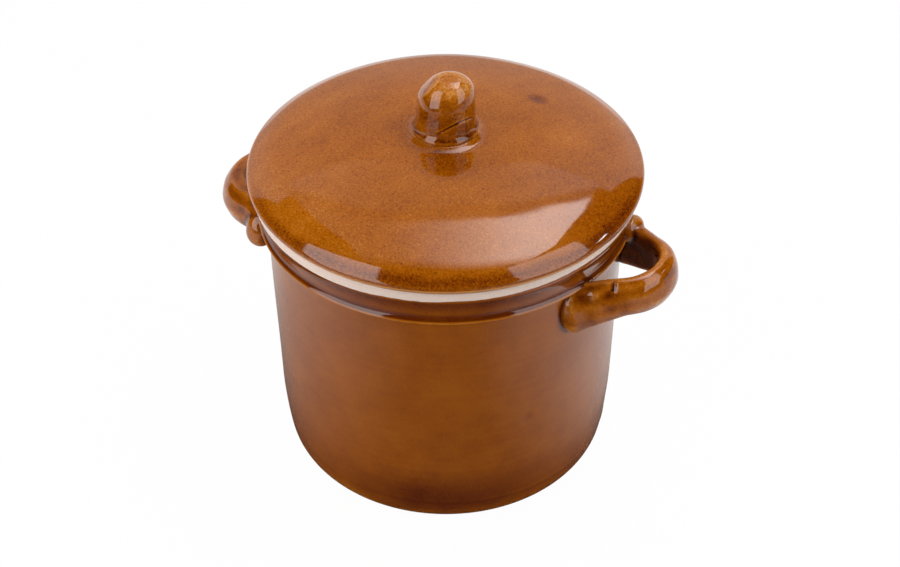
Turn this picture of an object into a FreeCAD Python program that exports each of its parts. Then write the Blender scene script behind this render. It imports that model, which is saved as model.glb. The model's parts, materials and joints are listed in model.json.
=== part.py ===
"""Glazed stoneware bean pot with two lug handles and a lift-off lid.

Frame: origin at the centre of the foot, +Z up, millimetres. The handles stand out
along +X and -X, both swung a little towards -Y, and the lid lifts off along +Z.

The clay pieces are the thrown pot, two pulled handles luted to its wall, the thrown
lid, the locating flange under the lid and the knob on top of it. Luted pieces meet
face to face: a handle is cut by the pot's own outline, and the knob stands on the
arc of the lid's crown.
"""

import FreeCAD, Part  # FreeCAD has to come first

import math
import os

import Sketcher

DIMENSIONS = {
    # outside of the pot, from the foot up
    "foot_radius": 63.6,
    "heel_radius": 17.0,
    "flank_radius": 185.0,
    "wall_foot_height": 43.0,
    "wall_top_radius": 86.6,
    "wall_top_height": 137.7,
    "ridge_radius": 90.2,
    "ridge_height": 139.5,
    "ridge_round": 1.4,
    "collar_foot_radius": 89.6,
    "collar_foot_height": 141.2,
    "collar_hollow_radius": 12.5,
    "lip_radius": 92.5,
    "lip_height": 153.9,
    "lip_top_radius": 92.2,
    "rim_round": 2.2,
    "rim_height": 159.3,
    # inside of the pot
    "floor_height": 9.0,
    "inner_heel_radius": 34.0,
    "inner_wall_foot_radius": 76.8,
    "inner_wall_top_radius": 80.4,
    "inner_wall_top_height": 142.3,
    "mouth_radius": 82.0,
    "mouth_height": 150.3,
    "mouth_round": 1.8,
    "mouth_clearance": 6.0,
    # handles
    "handle_swing": 7.0,
    "handle_bend_radius": 20.0,
    "handle_leg_angle": 65.0,
    "handle_root": 74.0,
    "strap_thickness": 8.4,
    "strap_width": 18.0,
    "right_reach": 116.2,
    "right_height": 131.8,
    "right_rise": 9.0,
    "left_reach": 108.8,
    "left_height": 133.8,
    "left_rise": -4.0,
    "wad_seat": 83.5,
    "wad_spread": 27.0,
    "wad_drop": 5.0,
    "wad_depth": 10.0,
    "wad_half_width": 11.0,
    "wad_half_height": 11.5,
    # lid
    "lid_radius": 95.0,
    "seat_height": 159.6,
    "lid_edge_round": 2.7,
    "lid_shoulder_radius": 40.0,
    "crown_height": 184.3,
    "crown_radius": 265.0,
    "seat_inner_radius": 75.0,
    "hollow_radius": 71.5,
    "hollow_edge_height": 165.8,
    "hollow_top_height": 177.8,
    # locating flange under the lid
    "flange_outer_radius": 80.2,
    "flange_inner_radius": 75.6,
    "flange_round": 1.6,
    "flange_depth": 9.5,
    # knob
    "knob_joint_radius": 14.4,
    "knob_flare_radius": 15.3,
    "knob_flare_height": 186.9,
    "knob_flare_round": 2.0,
    "knob_neck_radius": 14.0,
    "knob_neck_height": 191.8,
    "knob_neck_hollow": 9.0,
    "knob_shoulder_radius": 12.9,
    "knob_top_height": 213.6,
}

# Starting shapes for the sketch solver, which slides each smooth joint to its exact place.
HEEL_TURN_GUESS = 70.0
WALL_TAPER_GUESS = 2.8
LID_EDGE_TURN_GUESS = 50.0
CROWN_TURN_GUESS = 17.7

PARTS_FOLDER = "parts"
TOUCHING = 1e-6
ROOT_POINT = (-1, 1)  # a sketch's own origin, as Sketcher numbers it
ACROSS_AXIS, UP_AXIS = -1, -2
START, END, CENTRE = 1, 2, 3


def size(name):
    """The number in a cell, for the starting shape that the sketch solver then makes exact."""
    return float(sheet.get(name))


def formula(text):
    """An expression on the sheet's cells, from one that names them alone."""
    return " ".join("Dimensions." + word if word in DIMENSIONS else word for word in text.split())


def own_plane(body, role):
    """One of a body's own origin planes."""
    return [feature for feature in body.Origin.OriginFeatures if feature.Role == role][0]


class Outline:
    """A chain of lines and arcs, drawn edge by edge in a sketch on one of a body's own planes."""

    def __init__(self, body, label, first, plane="XZ_Plane"):
        self.sketch = body.newObject("Sketcher::SketchObject", label)
        self.sketch.AttachmentSupport = [(own_plane(body, plane), "")]
        self.sketch.MapMode = "FlatFace"
        self.here = self.first = first
        self.edges = []

    def add(self, geometry, end):
        """Adds an edge from the last point to end, and notes which way round it is stored."""
        number = self.sketch.addGeometry(geometry, False)
        gap = self.sketch.getPoint(number, START) - FreeCAD.Vector(*self.here, 0)
        ends = (START, END) if gap.Length < TOUCHING else (END, START)
        self.edges.append((number, *ends))
        self.here = end
        return len(self.edges) - 1

    def line(self, end):
        """A straight edge to a point."""
        points = [FreeCAD.Vector(*p, 0) for p in (self.here, end)]
        return self.add(Part.LineSegment(*points), end)

    def arc(self, radius, end):
        """An arc to a point, bowed to the right of the way there, or if radius is negative to the left."""
        (x0, y0), (x1, y1) = self.here, end
        chord = math.hypot(x1 - x0, y1 - y0)
        sagitta = abs(radius) - math.sqrt(max(radius * radius - chord * chord / 4, 0.0))
        bow = math.copysign(sagitta, radius) / chord
        middle = ((x0 + x1) / 2 + (y1 - y0) * bow, (y0 + y1) / 2 - (x1 - x0) * bow)
        points = [FreeCAD.Vector(*p, 0) for p in (self.here, middle, end)]
        return self.add(Part.Arc(*points), end)

    def join(self, smooth=(), closed=True):
        """Joins the edges end to end. An edge listed in smooth leaves tangent to the one before it."""
        for i in range(0 if closed else 1, len(self.edges)):
            before, _, last = self.edges[i - 1]
            number, start, _ = self.edges[i]
            kind = "Tangent" if i in smooth else "Coincident"
            self.sketch.addConstraint(Sketcher.Constraint(kind, before, last, number, start))

    def bind(self, text, kind, *arguments):
        """Adds a dimension and binds it to the sheet."""
        index = self.sketch.addConstraint(Sketcher.Constraint(kind, *arguments))
        self.sketch.setExpression(f"Constraints[{index}]", formula(text))

    def across(self, edge, text):
        """Fixes how far the start of an edge lies from the upright axis."""
        number, start, _ = self.edges[edge]
        drawn = self.sketch.getPoint(number, start).x
        self.bind(text, "DistanceX", *ROOT_POINT, number, start, drawn)

    def up(self, edge, text):
        """Fixes how far the start of an edge lies above the sketch's origin."""
        number, start, _ = self.edges[edge]
        drawn = self.sketch.getPoint(number, start).y
        self.bind(text, "DistanceY", *ROOT_POINT, number, start, drawn)

    def at(self, edge, across, up):
        """Fixes the start of an edge both ways."""
        self.across(edge, across)
        self.up(edge, up)

    def radius(self, edge, text):
        """Fixes an arc's radius."""
        number = self.edges[edge][0]
        self.bind(text, "Radius", number, self.sketch.Geometry[number].Radius)

    def on(self, axis, edge, point=None):
        """Puts the start of an edge, or another of its points, on an axis."""
        number, start, _ = self.edges[edge]
        constraint = Sketcher.Constraint("PointOnObject", number, point or start, axis)
        self.sketch.addConstraint(constraint)

    def level(self, *edges):
        """Makes edges horizontal."""
        for edge in edges:
            self.sketch.addConstraint(Sketcher.Constraint("Horizontal", self.edges[edge][0]))

    def upright(self, *edges):
        """Makes edges vertical."""
        for edge in edges:
            self.sketch.addConstraint(Sketcher.Constraint("Vertical", self.edges[edge][0]))


def new_body(label):
    """An empty body whose label names its file."""
    body = doc.addObject("PartDesign::Body", label)
    body.Label = label
    return body


def revolve(body, outline):
    """Turns a closed outline once round the Z axis."""
    turned = body.newObject("PartDesign::Revolution", body.Label + "_turned")
    turned.Profile = outline.sketch
    turned.ReferenceAxis = (outline.sketch, ["V_Axis"])
    turned.Angle = 360.0
    doc.recompute()
    return body


def make_pot_envelope():
    """The pot's outside as one solid: foot, heel, tapered wall, ridge, hollowed collar and lip."""
    body = new_body("pot_envelope")
    foot = size("foot_radius"), 0.0
    heel, heel_turn = size("heel_radius"), math.radians(HEEL_TURN_GUESS)
    heel_end = foot[0] + heel * math.sin(heel_turn), heel - heel * math.cos(heel_turn)
    wall_foot = size("wall_top_radius") - WALL_TAPER_GUESS, size("wall_foot_height")
    collar_foot = size("collar_foot_radius"), size("collar_foot_height")
    lip_top = size("lip_top_radius"), size("rim_height") - size("rim_round")

    outline = Outline(body, "pot_outside", (0.0, 0.0))
    base = outline.line(foot)
    heel_arc = outline.arc(heel, heel_end)
    flank = outline.arc(size("flank_radius"), wall_foot)
    wall = outline.line((size("wall_top_radius"), size("wall_top_height")))
    step = outline.line((size("ridge_radius"), size("ridge_height")))
    ridge = outline.arc(size("ridge_round"), collar_foot)
    collar = outline.arc(-size("collar_hollow_radius"), (size("lip_radius"), size("lip_height")))
    lip = outline.line(lip_top)
    rim = outline.arc(size("rim_round"), (lip_top[0] - size("rim_round"), size("rim_height")))
    top = outline.line((0.0, size("rim_height")))
    axis = outline.line(outline.first)
    outline.join(smooth=(heel_arc, flank, wall))

    outline.on(UP_AXIS, base)
    outline.on(ACROSS_AXIS, base)
    outline.level(base, top)
    outline.across(heel_arc, "foot_radius")
    outline.radius(heel_arc, "heel_radius")
    outline.radius(flank, "flank_radius")
    outline.up(wall, "wall_foot_height")
    outline.at(step, "wall_top_radius", "wall_top_height")
    outline.at(ridge, "ridge_radius", "ridge_height")
    outline.radius(ridge, "ridge_round")
    outline.at(collar, "collar_foot_radius", "collar_foot_height")
    outline.radius(collar, "collar_hollow_radius")
    outline.at(lip, "lip_radius", "lip_height")
    outline.at(rim, "lip_top_radius", "rim_height - rim_round")
    outline.radius(rim, "rim_round")
    outline.at(top, "lip_top_radius - rim_round", "rim_height")
    outline.on(UP_AXIS, axis)
    return revolve(body, outline)


def make_pot_cavity():
    """The space inside the pot. It runs on above the rim, so that it cuts the mouth open."""
    body = new_body("pot_cavity")
    floor = size("floor_height")
    heel = size("inner_heel_radius")
    wall_foot = size("inner_wall_foot_radius"), floor + heel
    mouth = size("mouth_radius")
    round_start = size("rim_height") - size("mouth_round")
    mouth_edge = mouth + size("mouth_round"), size("rim_height")
    above = size("rim_height") + size("mouth_clearance")

    outline = Outline(body, "pot_inside", (0.0, floor))
    bottom = outline.line((wall_foot[0] - heel, floor))
    heel_arc = outline.arc(heel, wall_foot)
    wall = outline.line((size("inner_wall_top_radius"), size("inner_wall_top_height")))
    gallery = outline.line((mouth, size("mouth_height")))
    throat = outline.line((mouth, round_start))
    edge = outline.arc(-size("mouth_round"), mouth_edge)
    rise = outline.line((mouth_edge[0], above))
    cover = outline.line((0.0, above))
    axis = outline.line(outline.first)
    outline.join(smooth=(heel_arc, wall))

    outline.on(UP_AXIS, bottom)
    outline.up(bottom, "floor_height")
    outline.level(bottom, cover)
    outline.radius(heel_arc, "inner_heel_radius")
    outline.across(wall, "inner_wall_foot_radius")
    outline.at(gallery, "inner_wall_top_radius", "inner_wall_top_height")
    outline.at(throat, "mouth_radius", "mouth_height")
    outline.upright(throat, rise)
    outline.up(edge, "rim_height - mouth_round")
    outline.radius(edge, "mouth_round")
    outline.at(rise, "mouth_radius + mouth_round", "rim_height")
    outline.up(cover, "rim_height + mouth_clearance")
    outline.on(UP_AXIS, axis)
    return revolve(body, outline)


def make_handle_blank(side):
    """A strap bent into a loop with a wad of clay at each root, not yet fitted to the wall."""
    body = new_body(f"handle_{side}_blank")
    reach, bend = size(side + "_reach"), size("handle_bend_radius")
    leg_angle = math.radians(size("handle_leg_angle"))
    turn = reach - bend + bend * math.cos(leg_angle), bend * math.sin(leg_angle)
    root = size("handle_root"), turn[1] + (turn[0] - size("handle_root")) / math.tan(leg_angle)

    route = Outline(body, f"handle_{side}_route", (reach, 0.0), "XY_Plane")
    loop = route.arc(bend, turn)
    leg = route.line(root)
    route.join(smooth=(leg,), closed=False)
    route.on(ACROSS_AXIS, loop)
    route.on(ACROSS_AXIS, loop, CENTRE)
    route.across(loop, side + "_reach")
    route.radius(loop, "handle_bend_radius")
    leg_line = route.edges[leg][0]
    route.bind("( 90 + handle_leg_angle ) * 1 deg", "Angle", leg_line, math.pi / 2 + leg_angle)
    route.bind("handle_root", "DistanceX", *ROOT_POINT, leg_line, END, root[0])

    half = size("strap_thickness") / 2
    flat = size("strap_width") / 2 - half
    section = Outline(body, f"handle_{side}_section", (reach + half, -flat))
    outer = section.line((reach + half, flat))
    upper = section.arc(half, (reach - half, flat))
    inner = section.line((reach - half, -flat))
    lower = section.arc(half, (reach + half, -flat))
    section.join(smooth=(outer, upper, inner, lower))
    section.upright(outer, inner)
    section.radius(upper, "strap_thickness / 2")
    section.across(outer, f"{side}_reach + strap_thickness / 2")
    section.up(outer, "( strap_thickness - strap_width ) / 2")
    section.up(upper, "( strap_width - strap_thickness ) / 2")
    doc.recompute()

    strap = body.newObject("PartDesign::AdditivePipe", f"handle_{side}_strap")
    strap.Profile = section.sketch
    strap.Spine = (route.sketch, ["Edge1", "Edge2"])
    doc.recompute()

    halves = body.newObject("PartDesign::Mirrored", f"handle_{side}_halves")
    halves.Originals = [strap]
    halves.MirrorPlane = (own_plane(body, "XZ_Plane"), [""])
    body.Tip = halves
    doc.recompute()

    for root_name, offset in (("near", "-1 * wad_spread"), ("far", "wad_spread")):
        wad = body.newObject("PartDesign::AdditiveEllipsoid", f"handle_{side}_{root_name}_wad")
        wad.AttachmentSupport = [(own_plane(body, "XY_Plane"), "")]
        wad.MapMode = "FlatFace"
        wad.setExpression("Radius1", formula("wad_half_height"))
        wad.setExpression("Radius2", formula("wad_depth"))
        wad.setExpression("Radius3", formula("wad_half_width"))
        wad.setExpression("AttachmentOffset.Base.x", formula("wad_seat"))
        wad.setExpression("AttachmentOffset.Base.y", formula(offset))
        wad.setExpression("AttachmentOffset.Base.z", formula("-1 * wad_drop"))
        doc.recompute()

    pivot = FreeCAD.Vector(size("wall_top_radius"), 0, 0)
    lift = FreeCAD.Vector(0, 0, size(side + "_height"))
    tilt = FreeCAD.Rotation(FreeCAD.Vector(0, 1, 0), -size(side + "_rise"))
    swing = size("handle_swing")
    azimuth = {"right": -swing, "left": 180.0 + swing}[side]
    turned = FreeCAD.Placement(FreeCAD.Vector(), FreeCAD.Rotation(FreeCAD.Vector(0, 0, 1), azimuth))
    body.Placement = turned * FreeCAD.Placement(lift, tilt, pivot)
    return body


def cut(label, base, tool):
    """One solid less another, as a named sub-part."""
    result = doc.addObject("Part::Cut", label)
    result.Label = label
    result.Base = base
    result.Tool = tool
    return result


def make_lid():
    """A domed cap with a thin rolled edge, and a flat seat round its hollow underside."""
    body = new_body("lid")
    crown, crown_top = size("crown_radius"), size("crown_height")
    crown_turn = math.radians(CROWN_TURN_GUESS)
    crown_end = crown * math.sin(crown_turn), crown_top - crown + crown * math.cos(crown_turn)
    edge = size("lid_edge_round")
    seat = size("seat_height")
    edge_centre = size("lid_radius") - edge, seat + edge
    edge_turn = math.radians(LID_EDGE_TURN_GUESS)
    edge_end = edge_centre[0] + edge * math.sin(edge_turn), edge_centre[1] + edge * math.cos(edge_turn)
    hollow = size("hollow_radius"), size("hollow_edge_height")
    hollow_rise = size("hollow_top_height") - hollow[1]
    hollow_arc = (hollow[0] ** 2 + hollow_rise ** 2) / (2 * hollow_rise)

    outline = Outline(body, "lid_outline", (0.0, size("hollow_top_height")))
    under = outline.arc(-hollow_arc, hollow)
    slope = outline.line((size("seat_inner_radius"), seat))
    rest = outline.line((edge_centre[0], seat))
    rolled = outline.arc(edge, edge_end)
    shoulder = outline.arc(size("lid_shoulder_radius"), crown_end)
    dome = outline.arc(crown, (0.0, crown_top))
    axis = outline.line(outline.first)
    outline.join(smooth=(rolled, shoulder, dome))

    outline.on(UP_AXIS, under)
    outline.on(UP_AXIS, under, CENTRE)
    outline.up(under, "hollow_top_height")
    outline.at(slope, "hollow_radius", "hollow_edge_height")
    outline.at(rest, "seat_inner_radius", "seat_height")
    outline.level(rest)
    outline.across(rolled, "lid_radius - lid_edge_round")
    outline.radius(rolled, "lid_edge_round")
    outline.radius(shoulder, "lid_shoulder_radius")
    outline.on(UP_AXIS, dome, CENTRE)
    outline.radius(dome, "crown_radius")
    outline.on(UP_AXIS, axis)
    outline.up(axis, "crown_height")
    return revolve(body, outline)


def make_flange():
    """The ring luted under the lid, which drops inside the mouth and keeps the lid centred."""
    body = new_body("lid_flange")
    inner, outer = size("flange_inner_radius"), size("flange_outer_radius")
    seat, soft = size("seat_height"), size("flange_round")
    foot = seat - size("flange_depth")

    outline = Outline(body, "flange_outline", (inner, seat))
    inside = outline.line((inner, foot + soft))
    inner_edge = outline.arc(soft, (inner + soft, foot))
    sole = outline.line((outer - soft, foot))
    outer_edge = outline.arc(soft, (outer, foot + soft))
    outside = outline.line((outer, seat))
    joint = outline.line(outline.first)
    outline.join(smooth=(inner_edge, sole, outer_edge, outside))

    outline.at(inside, "flange_inner_radius", "seat_height")
    outline.upright(inside, outside)
    outline.level(sole, joint)
    outline.radius(inner_edge, "flange_round")
    outline.up(sole, "seat_height - flange_depth")
    outline.radius(outer_edge, "flange_round")
    outline.across(joint, "flange_outer_radius")
    return revolve(body, outline)


def make_knob():
    """A pulled knob with a flared base, standing on the crown of the lid."""
    body = new_body("lid_knob")
    crown, crown_top = size("crown_radius"), size("crown_height")
    joint_radius = size("knob_joint_radius")
    joint_rise = crown - math.sqrt(crown ** 2 - joint_radius ** 2)
    neck = size("knob_neck_radius"), size("knob_neck_height")
    cap = size("knob_shoulder_radius")
    shoulder = cap, size("knob_top_height") - cap

    outline = Outline(body, "knob_outline", (0.0, crown_top))
    joint = outline.arc(-crown, (joint_radius, crown_top - joint_rise))
    flare = outline.arc(size("knob_flare_round"), (size("knob_flare_radius"), size("knob_flare_height")))
    hollow = outline.arc(-size("knob_neck_hollow"), neck)
    side = outline.line(shoulder)
    dome = outline.arc(cap, (0.0, size("knob_top_height")))
    axis = outline.line(outline.first)
    outline.join(smooth=(dome,))

    outline.on(UP_AXIS, joint)
    outline.on(UP_AXIS, joint, CENTRE)
    outline.up(joint, "crown_height")
    outline.radius(joint, "crown_radius")
    outline.across(flare, "knob_joint_radius")
    outline.radius(flare, "knob_flare_round")
    outline.at(hollow, "knob_flare_radius", "knob_flare_height")
    outline.radius(hollow, "knob_neck_hollow")
    outline.at(side, "knob_neck_radius", "knob_neck_height")
    outline.across(dome, "knob_shoulder_radius")
    outline.on(UP_AXIS, dome, CENTRE)
    outline.on(UP_AXIS, axis)
    outline.up(axis, "knob_top_height")
    return revolve(body, outline)


def check(parts):
    """Stops the script if a feature failed, a sketch is loose or a sub-part isn't one valid solid."""
    for item in doc.Objects:
        if {"Invalid", "Error"} & set(item.State):
            raise RuntimeError(f"{item.Label} failed: {item.State}")
        if item.TypeId == "Sketcher::SketchObject" and not item.FullyConstrained:
            raise RuntimeError(f"{item.Label} isn't fully constrained")
    for item in parts:
        shape = item.Shape
        if shape.isNull() or not shape.isValid() or len(shape.Solids) != 1:
            raise RuntimeError(f"{item.Label} isn't one valid solid")
        box = shape.optimalBoundingBox()
        low, high = (box.XMin, box.YMin, box.ZMin), (box.XMax, box.YMax, box.ZMax)
        print(f"{item.Label}: {shape.Volume / 1000:.1f} cm3",
              [round(v, 2) for v in low], [round(v, 2) for v in high])


doc = FreeCAD.newDocument("bean_pot")
sheet = doc.addObject("Spreadsheet::Sheet", "Dimensions")
for row, (name, value) in enumerate(DIMENSIONS.items(), start=1):
    sheet.set(f"A{row}", name)
    sheet.set(f"B{row}", str(value))
    sheet.setAlias(f"B{row}", name)
doc.recompute()

envelope = make_pot_envelope()
sub_parts = [
    cut("pot_body", envelope, make_pot_cavity()),
    cut("handle_right", make_handle_blank("right"), envelope),
    cut("handle_left", make_handle_blank("left"), envelope),
    make_lid(),
    make_flange(),
    make_knob(),
]
doc.recompute()
check(sub_parts)

os.makedirs(PARTS_FOLDER, exist_ok=True)
for sub_part in sub_parts:
    sub_part.Shape.exportStep(f"{PARTS_FOLDER}/{sub_part.Label}.step")
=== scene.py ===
# %% [markdown]
# # A glazed stoneware bean pot
# This notebook dresses a bean pot: a thrown pot with two lug handles, and a loose domed lid
# with a knob. The construction already exists as a CAD model, and it is loaded first as a
# fixed frame. Everything built here sits at the place and the size that the frame gives, in
# metres, with +Z up and the origin in the middle of the pot's base.

# %% Load the frame
import json
import math

import bmesh
import bpy
import numpy as np
from mathutils import Matrix, Vector, noise
from mathutils.bvhtree import BVHTree
from mathutils.kdtree import KDTree


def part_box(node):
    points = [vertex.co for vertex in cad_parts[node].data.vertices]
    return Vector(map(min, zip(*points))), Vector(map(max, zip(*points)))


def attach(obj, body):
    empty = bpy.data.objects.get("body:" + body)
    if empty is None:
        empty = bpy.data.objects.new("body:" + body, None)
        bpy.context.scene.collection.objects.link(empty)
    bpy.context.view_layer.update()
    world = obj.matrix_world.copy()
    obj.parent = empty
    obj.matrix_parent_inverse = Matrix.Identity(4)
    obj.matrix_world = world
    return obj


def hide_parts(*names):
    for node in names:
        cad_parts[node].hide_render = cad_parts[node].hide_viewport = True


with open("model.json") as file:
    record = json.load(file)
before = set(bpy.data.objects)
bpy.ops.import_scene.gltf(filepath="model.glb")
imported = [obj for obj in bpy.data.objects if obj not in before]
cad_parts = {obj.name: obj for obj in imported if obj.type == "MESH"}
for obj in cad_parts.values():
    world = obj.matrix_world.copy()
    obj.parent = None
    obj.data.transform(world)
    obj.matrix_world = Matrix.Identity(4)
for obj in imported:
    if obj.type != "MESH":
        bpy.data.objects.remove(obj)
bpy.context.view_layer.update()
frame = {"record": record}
MM = 0.001
for body, nodes in frame["record"]["behaviour"]["bodies"].items():
    print(body, "carries", ", ".join(nodes))

# %% [markdown]
# ## The camera
# The camera looks down at the pot from the front, a little from the right of its middle
# plane. A long lens from about a metre keeps the sides of the pot nearly parallel. The place
# is worked out from an aim point, an azimuth, an elevation and a distance, because those are
# what one would change with a real camera on its stand.

# %% Place the camera
VIEW_AZIMUTH = math.radians(21.0)
VIEW_ELEVATION = math.radians(39.05)
VIEW_ROLL = math.radians(-0.17)
VIEW_DISTANCE = 1095.3 * MM
LENS_MM = 88.0
SENSOR_MM = 36.0
AIM_HEIGHT = 90.0 * MM
AIM_RIGHT = 2.0 * MM


def seen_from_front(right, away, height):
    """A point given as the viewer sees it: to the right, away from the viewer, and up."""
    turn = Matrix.Rotation(VIEW_AZIMUTH, 3, "Z")
    return turn @ Vector((right, away, height))


aim = seen_from_front(AIM_RIGHT, 0.0, AIM_HEIGHT)
back = seen_from_front(0.0, -math.cos(VIEW_ELEVATION), math.sin(VIEW_ELEVATION))
lens = bpy.data.cameras.new("studio_camera")
lens.lens = LENS_MM
lens.sensor_width = SENSOR_MM
lens.sensor_fit = "HORIZONTAL"
camera = bpy.data.objects.new("studio_camera", lens)
camera.location = aim + back * VIEW_DISTANCE
camera.rotation_euler = (Matrix.Rotation(VIEW_AZIMUTH, 3, "Z")
                         @ Matrix.Rotation(math.pi / 2 - VIEW_ELEVATION, 3, "X")
                         @ Matrix.Rotation(VIEW_ROLL, 3, "Z")).to_euler()
bpy.context.scene.collection.objects.link(camera)
bpy.context.scene.camera = camera
bpy.context.scene.view_settings.view_transform = "Standard"
print("camera at", [round(c, 3) for c in camera.location])

# %% [markdown]
# ## Drawing an outline for the wheel
# A thrown pot is a turned shape, so most of this one can be made as a potter makes it: draw
# half of its section and turn it round the axis. The outline could be typed in as a long
# list of points, but then nobody could change it. Instead a vertex is pulled along, in
# straight lines with extrude and round bends with spin, so each line below is one feature
# of the pot.

# %% A pen that draws with bmesh operators
MERGE_DISTANCE = 0.001 * MM


class Outline:
    """A wire in the plane of X and Z, drawn in short steps. Its numbers are millimetres."""

    def __init__(self, radius, height, fineness=0.9):
        self.mesh = bmesh.new()
        self.tip = bmesh.ops.create_vert(self.mesh, co=(radius * MM, 0, height * MM))["vert"][0]
        self.fineness = fineness * MM

    def step(self, fineness):
        """Sets how long the next steps are."""
        self.fineness = fineness * MM
        return self

    def line(self, radius, height):
        """Pulls the tip straight to a point."""
        start = self.tip.co.copy()
        end = Vector((radius * MM, 0, height * MM))
        steps = max(1, round((end - start).length / self.fineness))
        for step in range(steps):
            grown = bmesh.ops.extrude_vert_indiv(self.mesh, verts=[self.tip])
            self.tip = grown["verts"][0]
            self.tip.co = start.lerp(end, (step + 1) / steps)
        return self

    def arc(self, bend, radius, height):
        """Swings the tip to a point. The way bows to its right, or for a negative bend left."""
        start = self.tip.co.copy()
        end = Vector((radius * MM, 0, height * MM))
        way = end - start
        right = Vector((way.z, 0, -way.x)).normalized() * math.copysign(1, bend)
        depth = math.sqrt(max((bend * MM) ** 2 - way.length_squared / 4, 0))
        centre = (start + end) / 2 - right * depth
        turn = 2 * math.asin(min(way.length / (2 * abs(bend) * MM), 1))
        turn = math.copysign(turn, bend)
        steps = max(2, round(abs(turn * bend * MM) / self.fineness))
        swung = bmesh.ops.spin(self.mesh, geom=[self.tip], cent=centre, axis=(0, -1, 0),
                               angle=turn, steps=steps)
        self.tip = [v for v in swung["geom_last"] if isinstance(v, bmesh.types.BMVert)][0]
        self.tip.co = end
        return self


def turned(outline, around):
    """Turns an outline once round the pot's axis and closes the seam and the poles."""
    mesh = outline.mesh
    bmesh.ops.spin(mesh, geom=mesh.verts[:] + mesh.edges[:], cent=(0, 0, 0), axis=(0, 0, 1),
                   angle=2 * math.pi, steps=around, use_merge=True)
    bmesh.ops.remove_doubles(mesh, verts=mesh.verts[:], dist=MERGE_DISTANCE)
    bmesh.ops.recalc_face_normals(mesh, faces=mesh.faces[:])
    return mesh


def finished(name, mesh):
    """Makes an object of a bmesh, smooth all over, and says how big it is."""
    data = bpy.data.meshes.new(name)
    for face in mesh.faces:
        face.smooth = True
    mesh.to_mesh(data)
    mesh.free()
    piece = bpy.data.objects.new(name, data)
    bpy.context.scene.collection.objects.link(piece)
    size = [round(side / MM, 1) for side in piece.dimensions]
    print(name, "has", len(data.polygons), "faces and measures", size, "mm")
    return piece


# %% [markdown]
# ## The unevenness of a hand
# No hand-thrown surface is a perfect turned shape. Fingers leave a shallow spiral, and the
# clay sags a little out of round while it dries and fires. A reflection shows a bend of a
# few hundredths of a millimetre, so these small moves decide whether the glaze looks like
# glaze. They are real moves of the vertices, made from smooth noise with fixed places.

# %% Moves that a potter's hands make
def wander(place, wavelength, seed):
    """Smooth noise between -1 and 1 that changes over a wavelength in millimetres."""
    offset = Vector((seed, seed * 0.37, -seed))
    return noise.noise(place / (wavelength * MM) + offset)


def fade(value, start, end):
    """0 before start and 1 after end, with a smooth ramp between them."""
    share = min(max((value - start) / (end - start), 0.0), 1.0)
    return share * share * (3 - 2 * share)


def across(place):
    """How far a point lies from the pot's axis, in millimetres."""
    return math.hypot(place.x, place.y) / MM


def outwards(place):
    """The level direction from the axis to a point."""
    flat = Vector((place.x, place.y, 0))
    return flat.normalized() if flat.length > MM else Vector()


def dent(place, middle, width, depth):
    """How deep a small round dent is at a point. All but the two points are millimetres."""
    return depth * math.exp(-((place - middle).length / (width * MM)) ** 2)


print("a ramp from 10 to 20 reads", [round(fade(at, 10, 20), 2) for at in (9, 12, 15, 18, 21)])

# %% [markdown]
# ## How glaze gathers
# Molten glaze runs off every edge and gathers in every hollow. Over an edge it is thin and
# pale, and in a crease it is thick and nearly black. A material can't measure that well by
# itself, so it is worked out once per vertex: how far the neighbours rise above the surface,
# smoothed a little, and stored as an attribute that the glaze will read.

# %% Measure hollows and edges
FLAT_DEPTH = 0.5
OVER_EDGE, IN_HOLLOW = -0.25, 0.5
SHORTEST_EDGE = 0.05 * MM


def note_glaze_depth(piece, gain, passes, pooled_and_shade=0.0):
    """Stores glaze_depth: FLAT_DEPTH on a flat, less on an edge, more in a hollow, plus
    pooled_and_shade, which is deeper glaze and painted shade.
    """
    data = piece.data
    count = len(data.vertices)
    place = np.empty(count * 3)
    data.vertices.foreach_get("co", place)
    place = place.reshape(-1, 3)
    normal = np.empty(count * 3)
    data.vertices.foreach_get("normal", normal)
    normal = normal.reshape(-1, 3)
    ends = np.empty(len(data.edges) * 2, dtype=int)
    data.edges.foreach_get("vertices", ends)
    a, b = ends.reshape(-1, 2).T
    span = place[b] - place[a]
    square = np.maximum((span ** 2).sum(1), SHORTEST_EDGE ** 2)
    rise = np.concatenate([(span * normal[a]).sum(1), -(span * normal[b]).sum(1)])
    bend = 2 * rise / np.concatenate([square, square])
    here, there = np.concatenate([a, b]), np.concatenate([b, a])
    neighbours = np.maximum(np.bincount(here, minlength=count), 1)
    hollow = np.bincount(here, weights=bend, minlength=count) / neighbours
    for _ in range(passes):
        around = np.bincount(here, weights=hollow[there], minlength=count) / neighbours
        hollow = (hollow + around) / 2
    measured = np.clip(hollow * MM * gain, OVER_EDGE, IN_HOLLOW)
    depth = np.clip(FLAT_DEPTH + measured + pooled_and_shade, 0, 1)
    layer = data.attributes.new("glaze_depth", "FLOAT", "POINT")
    layer.data.foreach_set("value", depth.astype(np.float32))
    print(piece.name, "glaze depth runs from", depth.min().round(2), "to", depth.max().round(2))


# %% [markdown]
# ## The pot
# The pot is thrown in one go: a flat base, a rounded heel, a wall that leans out slightly, a
# small ridge, a hollowed collar and a plain rim for the lid to sit on. The outline goes up
# the outside, over the rim and down the inside, so the wall has its real thickness. Fingers
# leave faint rings outside and plainer ones inside.

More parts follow.
